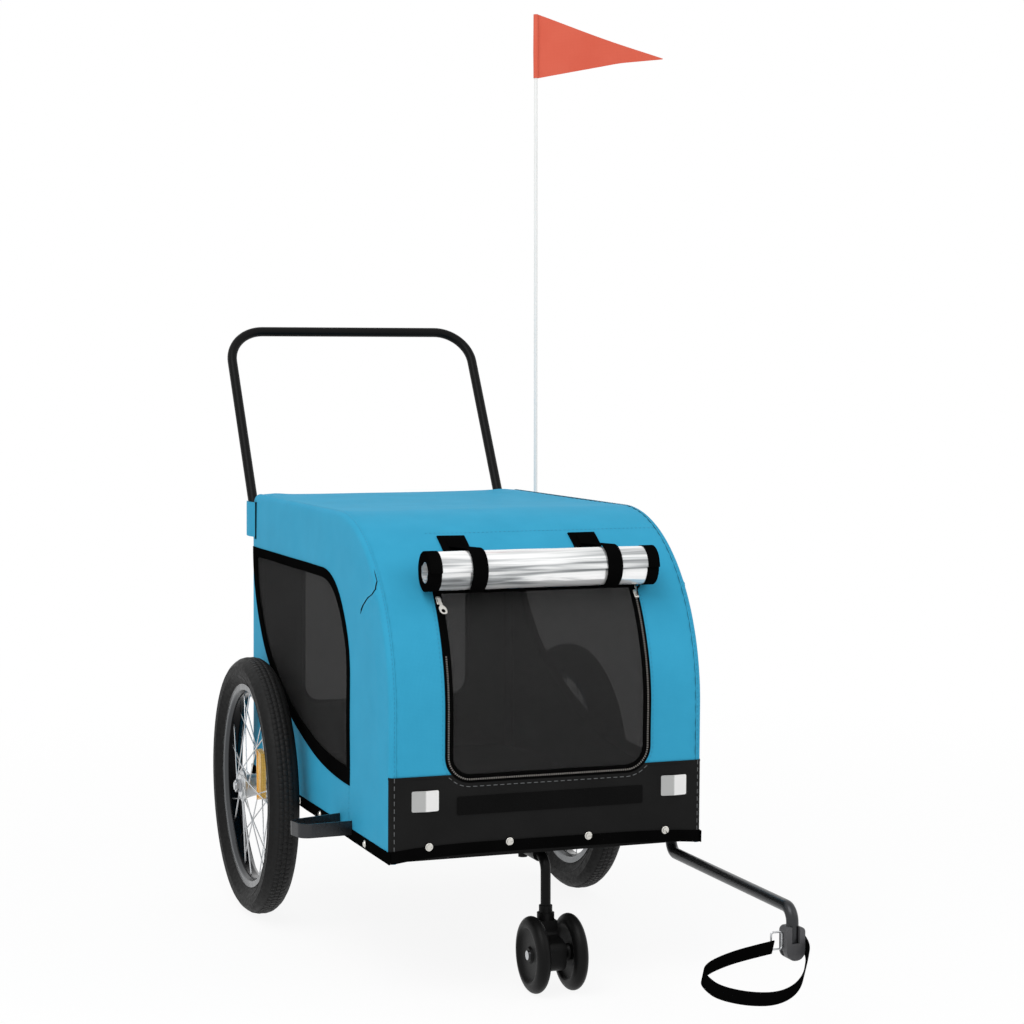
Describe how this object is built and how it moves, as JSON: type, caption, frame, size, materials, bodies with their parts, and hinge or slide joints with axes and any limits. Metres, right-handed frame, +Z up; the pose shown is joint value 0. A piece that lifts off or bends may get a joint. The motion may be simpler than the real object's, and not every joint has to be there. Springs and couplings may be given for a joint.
{
  "type": "dog bike trailer",
  "caption": "Dog bike trailer: cloth cabin on a steel frame with mesh doors and windows, spoked wheels, jockey wheel, cranked tow bar, folding push handle and safety flag.",
  "frame": {"origin": "on the ground, under the middle of the overall box without the safety strap", "axes": "+X to the right seen from the front, +Y towards the back, +Z up"},
  "size_m": [0.7694, 1.3898, 1.425],
  "materials": {
    "cloth_blue": "woven",
    "cloth_black": "woven",
    "mesh_black": "open mesh",
    "zip_black": "satin",
    "zip_metal": "polished",
    "steel_black": "semi-gloss",
    "floor_board": "matte",
    "clear_film": "glossy",
    "patch_silver": "retroreflective",
    "stud_metal": "polished",
    "tyre": "matte",
    "rim_chrome": "polished",
    "wire_steel": "bright",
    "hub_alloy": "satin",
    "amber_plastic": "glossy",
    "plastic_black": "satin",
    "tow_steel": "semi-gloss",
    "coupling_grey": "satin",
    "webbing_black": "woven",
    "pole_white": "satin",
    "flag_orange": "woven"
  },
  "bodies": {
    "chassis": {"side_rails": "steel_black", "cross_rails": "steel_black", "floor_board": "floor_board", "side_hoops": "steel_black", "roof_tubes": "steel_black", "front_roof_cover": "cloth_blue", "kick_panel": "cloth_black", "rear_panel": "cloth_blue", "left_side_panel": "cloth_blue", "right_side_panel": "cloth_blue", "left_window_mesh": "mesh_black", "right_window_mesh": "mesh_black", "window_bindings": "cloth_black", "hems": "cloth_black", "door_zips": "zip_black", "rain_cover_roll": "clear_film", "roll_straps": "cloth_black", "front_patches": "patch_silver", "press_studs": "stud_metal", "wheel_guards": "steel_black", "left_axle": "wire_steel", "right_axle": "wire_steel", "axle_nuts": "wire_steel", "jockey_socket": "steel_black", "tow_bracket": "steel_black", "handle_lugs": "steel_black", "handle_bolts": "stud_metal", "flag_pocket": "cloth_blue"},
    "left_wheel": {"left_tyre": "tyre", "left_rim": "rim_chrome", "left_hub": "hub_alloy", "left_spokes": "wire_steel", "left_bearings": "wire_steel", "left_spoke_reflector": "amber_plastic"},
    "right_wheel": {"right_tyre": "tyre", "right_rim": "rim_chrome", "right_hub": "hub_alloy", "right_spokes": "wire_steel", "right_bearings": "wire_steel", "right_spoke_reflector": "amber_plastic"},
    "jockey_leg": {"jockey_stem": "steel_black"},
    "plunger": {"jockey_plunger": "plastic_black"},
    "caster": {"jockey_fork": "plastic_black", "jockey_axle": "wire_steel"},
    "caster_left_wheel": {"jockey_left_wheel": "plastic_black"},
    "caster_right_wheel": {"jockey_right_wheel": "plastic_black"},
    "tow_arm": {"tow_bar": "tow_steel", "tow_snap_ring": "wire_steel"},
    "hitch": {"coupling": "coupling_grey", "safety_strap": "webbing_black", "strap_ring": "wire_steel"},
    "handle": {"push_handle": "steel_black"},
    "front_door": {"front_mesh_door": "mesh_black"},
    "rear_door": {"rear_mesh_door": "mesh_black"},
    "left_slider": {"left_zip_slider": "zip_metal"},
    "right_slider": {"right_zip_slider": "zip_metal"},
    "flag_set": {"flag_pole": "pole_white", "flag": "flag_orange"}
  },
  "joints": [
    {"name": "left_wheel_spin", "type": "hinge", "parent": "chassis", "child": "left_wheel", "pos_m": [-0.34228, 0.26516, 0.2], "axis": [1, 0, 0], "continuous": true},
    {"name": "right_wheel_spin", "type": "hinge", "parent": "chassis", "child": "right_wheel", "pos_m": [0.18972, 0.26516, 0.2], "axis": [1, 0, 0], "continuous": true},
    {"name": "jockey_slide", "type": "slide", "parent": "chassis", "child": "jockey_leg", "axis": [0, -1, 0], "range_m": [0, 0.1]},
    {"name": "plunger_pull", "type": "slide", "parent": "chassis", "child": "plunger", "axis": [0, 0, -1], "range_m": [0, 0.006], "stiffness_N_per_m": 400, "springref_m": -0.008},
    {"name": "jockey_swivel", "type": "hinge", "parent": "jockey_leg", "child": "caster", "pos_m": [-0.07628, -0.31354, 0.1], "axis": [0, 0, 1], "continuous": true},
    {"name": "caster_left_wheel_spin", "type": "hinge", "parent": "caster", "child": "caster_left_wheel", "pos_m": [-0.10228, -0.33754, 0.0525], "axis": [1, 0, 0], "continuous": true},
    {"name": "caster_right_wheel_spin", "type": "hinge", "parent": "caster", "child": "caster_right_wheel", "pos_m": [-0.05028, -0.33754, 0.0525], "axis": [1, 0, 0], "continuous": true},
    {"name": "tow_bar_swing", "type": "hinge", "parent": "chassis", "child": "tow_arm", "pos_m": [0.13572, -0.25884, 0.184], "axis": [0, 0, -1], "range_deg": [0, 65]},
    {"name": "coupling_swivel", "type": "hinge", "parent": "tow_arm", "child": "hitch", "pos_m": [0.13572, -0.63984, 0.125], "axis": [0, 0, 1], "range_deg": [-90, 90]},
    {"name": "handle_fold", "type": "hinge", "parent": "chassis", "child": "handle", "pos_m": [-0.07628, 0.45716, 0.605], "axis": [-1, 0, 0], "range_deg": [0, 145]},
    {"name": "front_door_open", "type": "hinge", "parent": "chassis", "child": "front_door", "pos_m": [-0.07628, -0.26814, 0.5432], "axis": [-1, 0, 0], "range_deg": [0, 60]},
    {"name": "rear_door_open", "type": "hinge", "parent": "chassis", "child": "rear_door", "pos_m": [-0.07628, 0.43416, 0.5432], "axis": [1, 0, 0], "range_deg": [0, 80]},
    {"name": "left_zip_travel", "type": "hinge", "parent": "chassis", "child": "left_slider", "pos_m": [-0.22258, -0.05984, 0.381], "axis": [1, 0, 0], "range_deg": [0, 30]},
    {"name": "right_zip_travel", "type": "hinge", "parent": "chassis", "child": "right_slider", "pos_m": [0.07002, -0.05984, 0.381], "axis": [1, 0, 0], "range_deg": [0, 30]},
    {"name": "flag_lift", "type": "slide", "parent": "chassis", "child": "flag_set", "axis": [0, 0, 1], "range_m": [0, 0.08]}
  ]
}
